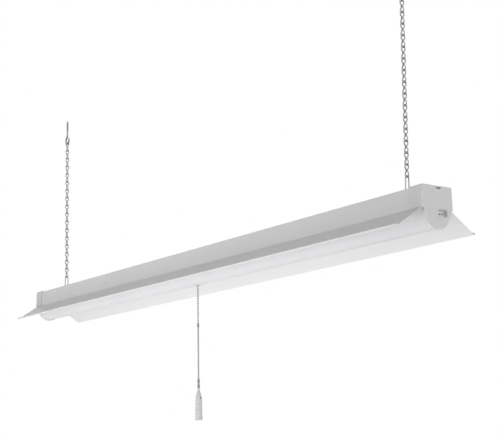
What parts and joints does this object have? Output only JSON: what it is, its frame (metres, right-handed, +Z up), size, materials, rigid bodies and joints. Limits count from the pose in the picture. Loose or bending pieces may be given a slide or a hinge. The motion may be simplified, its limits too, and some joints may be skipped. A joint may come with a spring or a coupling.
{
  "type": "shop light",
  "caption": "Long linkable LED shop light with a steel reflector housing, a U-shaped lens and a pull cord, hung on jack chains from ceiling screw hooks",
  "frame": {"origin": "on the ceiling plane, midway between the two ceiling screw hooks", "axes": "+X along the light towards the end with the link socket, +Z up into the ceiling"},
  "size_m": [1.213, 0.1434, 0.6575],
  "materials": {
    "enamel": "satin white baked enamel on sheet steel",
    "white_plastic": "pale grey-white moulded polycarbonate",
    "diffuser": "frosted translucent extrusion",
    "zinc_wire": "bright zinc-plated steel wire",
    "zinc_plate": "galvanised sheet steel and plated screws",
    "nickel_chain": "nickel-plated bead chain",
    "spring_steel": "plain spring steel",
    "dark_metal": "dark oxidised steel",
    "pull_cord": "braided pale cord",
    "knob_plastic": "pale grey moulded plastic",
    "black_plastic": "black moulded nylon",
    "brass": "stamped brass",
    "board_white": "white solder mask on aluminium",
    "led_phosphor": "yellow phosphor gel",
    "board_green": "green solder mask",
    "black_wire": "black insulated wire",
    "white_wire": "white insulated wire",
    "green_wire": "green insulated wire",
    "red_wire": "red insulated wire",
    "green_screw": "green-painted steel screw",
    "orange_nut": "orange moulded wire connector"
  },
  "bodies": {
    "ceiling_hooks": {"ceiling_hook_left": "zinc_wire", "ceiling_hook_right": "zinc_wire"},
    "top_link_left": {"top_link_left": "zinc_wire"},
    "top_link_right": {"top_link_right": "zinc_wire"},
    "chain_left": {"chain_left": "zinc_wire"},
    "chain_right": {"chain_right": "zinc_wire"},
    "bottom_link_left": {"bottom_link_left": "zinc_wire"},
    "bottom_link_right": {"bottom_link_right": "zinc_wire"},
    "switch_rotor": {"pull_switch_rotor": "white_plastic"},
    "switch_plunger": {"pull_switch_plunger": "white_plastic", "bead_chain_upper": "nickel_chain"},
    "swivel_bead": {"swivel_bead": "nickel_chain"},
    "pull": {"bead_chain_lower": "nickel_chain", "chain_connector": "dark_metal", "pull_cord": "pull_cord", "cord_coupling": "dark_metal", "pull_knob": "knob_plastic"},
    "light": {"v_hook_left": "zinc_wire", "v_hook_right": "zinc_wire", "housing": "enamel", "end_cap_link_end": "white_plastic", "end_cap_cord_end": "white_plastic", "link_receptacle": "white_plastic", "receptacle_contacts": "brass", "cord_gland": "black_plastic", "lens": "diffuser", "lens_grommet": "white_plastic", "gear_tray": "enamel", "tray_brackets": "zinc_plate", "tray_screws": "zinc_plate", "tray_grommet": "black_plastic", "led_boards": "board_white", "led_chips": "led_phosphor", "board_screws": "zinc_plate", "board_jumpers": "white_plastic", "driver_case": "zinc_plate", "driver_lid": "zinc_plate", "driver_board": "board_green", "driver_screws": "zinc_plate", "ground_screw": "green_screw", "wire_nuts": "orange_nut", "wire_clips": "white_plastic", "line_wire": "black_wire", "neutral_wire": "white_wire", "ground_wires": "green_wire", "switch_leads": "black_wire", "output_wires": "red_wire", "pull_switch_body": "black_plastic", "pull_switch_cover": "black_plastic", "pull_switch_nut": "zinc_plate", "pull_switch_contacts": "brass", "pull_switch_spring": "spring_steel"}
  },
  "joints": [
    {"name": "cross_swing", "type": "hinge", "parent": "ceiling_hooks", "child": "top_link_left", "pos_m": [-0.532, 0, -0.024], "axis": [1, 0, 0], "range_deg": [-20, 20]},
    {"name": "cross_swing_right", "type": "hinge", "parent": "ceiling_hooks", "child": "top_link_right", "pos_m": [0.532, 0, -0.024], "axis": [1, 0, 0], "range_deg": [-20, 20]},
    {"name": "along_swing", "type": "hinge", "parent": "top_link_left", "child": "chain_left", "pos_m": [-0.532, 0, -0.0378], "axis": [0, 1, 0], "range_deg": [-20, 20]},
    {"name": "along_swing_right", "type": "hinge", "parent": "top_link_right", "child": "chain_right", "pos_m": [0.532, 0, -0.0378], "axis": [0, 1, 0], "range_deg": [-20, 20]},
    {"name": "level_left", "type": "hinge", "parent": "chain_left", "child": "bottom_link_left", "pos_m": [-0.532, 0, -0.2928], "axis": [0, 1, 0], "range_deg": [-20, 20]},
    {"name": "level_right", "type": "hinge", "parent": "chain_right", "child": "bottom_link_right", "pos_m": [0.532, 0, -0.2928], "axis": [0, 1, 0], "range_deg": [-20, 20]},
    {"name": "light_roll", "type": "hinge", "parent": "bottom_link_left", "child": "light", "pos_m": [-0.532, 0, -0.3121], "axis": [1, 0, 0], "range_deg": [-20, 20]},
    {"name": "pull_switch", "type": "slide", "parent": "light", "child": "switch_plunger", "axis": [0, 0, -1], "range_m": [0, 0.008], "stiffness_N_per_m": 400, "springref_m": -0.004, "deforming": ["pull_switch_spring"]},
    {"name": "rotor_turn", "type": "hinge", "parent": "light", "child": "switch_rotor", "pos_m": [-0.015, 0, -0.3588], "axis": [0, 0, 1], "range_deg": [0, 45]},
    {"name": "pull_swing_across", "type": "hinge", "parent": "switch_plunger", "child": "swivel_bead", "pos_m": [-0.015, 0, -0.397], "axis": [1, 0, 0], "range_deg": [-25, 25]},
    {"name": "pull_swing_along", "type": "hinge", "parent": "swivel_bead", "child": "pull", "pos_m": [-0.015, 0, -0.40125], "axis": [0, 1, 0], "range_deg": [-25, 25]}
  ],
  "couplings": [
    {"joint": "cross_swing_right", "follows": "cross_swing", "ratio": 1},
    {"joint": "along_swing_right", "follows": "along_swing", "ratio": 1},
    {"joint": "level_left", "follows": "along_swing", "ratio": -1},
    {"joint": "level_right", "follows": "along_swing", "ratio": -1},
    {"joint": "rotor_turn", "follows": "pull_switch", "rad_per_m": 98.175}
  ]
}
